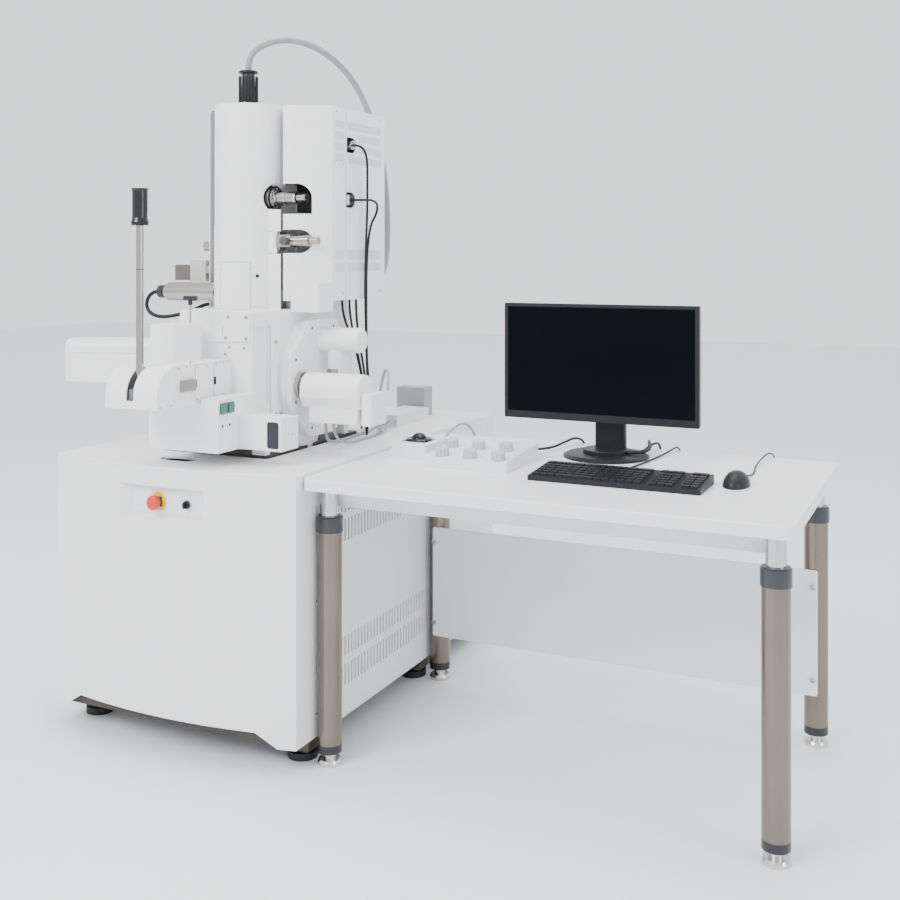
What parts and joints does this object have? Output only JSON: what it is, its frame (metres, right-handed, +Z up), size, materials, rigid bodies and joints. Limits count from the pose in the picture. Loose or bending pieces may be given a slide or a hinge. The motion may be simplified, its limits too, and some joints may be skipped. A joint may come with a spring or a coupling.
{
  "type": "scanning electron microscope",
  "caption": "Floor-standing electron microscope: column and vacuum chamber on a console, with an airlock, stage drive and an operator desk carrying a display and controls.",
  "frame": {"origin": "centre of the footprint on the floor", "axes": "+X along the desk, away from the console; +Y away from the operator; +Z up"},
  "size_m": [2.0922, 1.374, 1.8941],
  "materials": {
    "white_paint": "satin powder coat",
    "dark_paint": "satin dark bronze paint",
    "leg_bronze": "satin warm grey metallic",
    "steel": "brushed",
    "chrome": "polished",
    "laminate": "white laminated board",
    "white_plastic": "smooth matt",
    "black_plastic": "fine matt",
    "gloss_black": "polished",
    "red_plastic": "polished",
    "green_plastic": "polished",
    "black_cable": "smooth sheath",
    "grey_cable": "smooth sheath"
  },
  "bodies": {
    "console": {"front_panel": "white_paint", "switch_plate": "white_plastic", "right_side_panel": "white_paint", "left_and_rear_panel": "white_paint", "top_plate": "white_paint", "base_frame": "dark_paint", "levelling_feet": "dark_paint", "isolation_base": "dark_paint", "chamber": "white_paint", "lens_plate": "white_paint", "stage_plate": "white_paint", "stage_drive_covers": "white_paint", "electron_column": "steel", "column_front_cover": "white_paint", "column_rear_cover": "white_paint", "electronics_box": "white_paint", "side_detectors": "steel", "airlock_housing": "white_paint", "airlock_cover": "white_paint", "control_box": "white_paint", "camera_box": "white_paint", "retractable_detector_housing": "white_paint", "preamplifier_boxes": "white_paint", "leg_tubes": "leg_bronze", "leg_feet": "chrome", "modesty_panel": "white_paint", "high_voltage_cable": "grey_cable", "cable_loom": "black_cable"},
    "desk": {"leg_posts": "chrome", "desk_top": "laminate", "desk_frame": "white_paint", "knob_panel": "white_plastic", "trackball_housing": "white_plastic", "keyboard": "black_plastic", "mouse": "black_plastic", "monitor_base": "black_plastic", "trackball_cord": "grey_cable", "panel_cord": "black_cable", "keyboard_cord": "black_cable", "mouse_cord": "black_cable", "monitor_cords": "black_cable"},
    "emergency_stop_button": {"emergency_stop_button": "red_plastic"},
    "operation_selector": {"operation_selector": "black_plastic"},
    "aperture_knob": {"aperture_knob": "steel"},
    "valve_knob": {"valve_knob": "steel"},
    "exchange_lever": {"exchange_lever": "chrome"},
    "airlock_clasp": {"airlock_clasp": "steel"},
    "gate_release_handle": {"gate_release_handle": "steel"},
    "evacuate_button": {"evacuate_button": "green_plastic"},
    "vent_button": {"vent_button": "green_plastic"},
    "tracking_ball": {"trackball": "gloss_black"},
    "monitor_column": {"monitor_column": "black_plastic"},
    "monitor_carriage": {"monitor_carriage": "black_plastic"},
    "monitor_head": {"monitor_head": "black_plastic"},
    "control_knob_1": {"control_knob_1": "white_plastic"},
    "control_knob_2": {"control_knob_2": "white_plastic"},
    "control_knob_3": {"control_knob_3": "white_plastic"},
    "control_knob_4": {"control_knob_4": "white_plastic"},
    "control_knob_5": {"control_knob_5": "white_plastic"},
    "control_knob_6": {"control_knob_6": "white_plastic"}
  },
  "joints": [
    {"name": "desk_lift", "type": "slide", "parent": "console", "child": "desk", "axis": [0, 0, 1], "range_m": [-0.015, 0.08]},
    {"name": "emergency_stop_push", "type": "slide", "parent": "console", "child": "emergency_stop_button", "axis": [0, 1, 0], "range_m": [0, 0.005]},
    {"name": "operation_selector_turn", "type": "hinge", "parent": "console", "child": "operation_selector", "pos_m": [-0.42421, -0.55, 0.636], "axis": [0, 1, 0], "range_deg": [0, 60]},
    {"name": "aperture_knob_turn", "type": "hinge", "parent": "console", "child": "aperture_knob", "pos_m": [-0.3207, -0.16595, 1.425], "axis": [0.9976, -0.0698, 0], "continuous": true},
    {"name": "valve_knob_turn", "type": "hinge", "parent": "console", "child": "valve_knob", "pos_m": [-0.35921, -0.209, 1.304], "axis": [0, 1, 0], "continuous": true},
    {"name": "exchange_lever_swing", "type": "hinge", "parent": "console", "child": "exchange_lever", "pos_m": [-0.48821, -0.65, 0.92], "axis": [1, 0, 0], "range_deg": [0, 90]},
    {"name": "airlock_clasp_swing", "type": "hinge", "parent": "console", "child": "airlock_clasp", "pos_m": [-0.39871, -0.552, 0.94], "axis": [0, 0, 1], "range_deg": [0, 90]},
    {"name": "gate_release_pull", "type": "slide", "parent": "console", "child": "gate_release_handle", "axis": [0, 0, 1], "range_m": [0, 0.015]},
    {"name": "evacuate_button_push", "type": "slide", "parent": "console", "child": "evacuate_button", "axis": [-1, 0, 0], "range_m": [0, 0.003], "stiffness_N_per_m": 1500},
    {"name": "vent_button_push", "type": "slide", "parent": "console", "child": "vent_button", "axis": [-1, 0, 0], "range_m": [0, 0.003], "stiffness_N_per_m": 1500},
    {"name": "control_knob_1_turn", "type": "hinge", "parent": "desk", "child": "control_knob_1", "pos_m": [0.11079, -0.12, 0.75588], "axis": [0, -0.0764, 0.9971], "continuous": true},
    {"name": "control_knob_2_turn", "type": "hinge", "parent": "desk", "child": "control_knob_2", "pos_m": [0.18879, -0.12, 0.75588], "axis": [0, -0.0764, 0.9971], "continuous": true},
    {"name": "control_knob_3_turn", "type": "hinge", "parent": "desk", "child": "control_knob_3", "pos_m": [0.26679, -0.12, 0.75588], "axis": [0, -0.0764, 0.9971], "continuous": true},
    {"name": "control_knob_4_turn", "type": "hinge", "parent": "desk", "child": "control_knob_4", "pos_m": [0.12779, -0.214, 0.74868], "axis": [0, -0.0764, 0.9971], "continuous": true},
    {"name": "control_knob_5_turn", "type": "hinge", "parent": "desk", "child": "control_knob_5", "pos_m": [0.20579, -0.214, 0.74868], "axis": [0, -0.0764, 0.9971], "continuous": true},
    {"name": "control_knob_6_turn", "type": "hinge", "parent": "desk", "child": "control_knob_6", "pos_m": [0.28379, -0.214, 0.74868], "axis": [0, -0.0764, 0.9971], "continuous": true},
    {"name": "tracking_ball_roll", "type": "hinge", "parent": "desk", "child": "tracking_ball", "pos_m": [-0.00921, -0.076, 0.754], "axis": [1, 0, 0], "continuous": true},
    {"name": "monitor_swivel", "type": "hinge", "parent": "desk", "child": "monitor_column", "pos_m": [0.46679, 0.101, 0.74], "axis": [0, 0, 1], "range_deg": [-30, 30]},
    {"name": "monitor_lift", "type": "slide", "parent": "monitor_column", "child": "monitor_carriage", "axis": [0, 0, 1], "range_m": [-0.06, 0.035]},
    {"name": "monitor_tilt", "type": "hinge", "parent": "monitor_carriage", "child": "monitor_head", "pos_m": [0.46679, 0.102, 0.975], "axis": [-1, 0, 0], "range_deg": [-5, 15]}
  ]
}
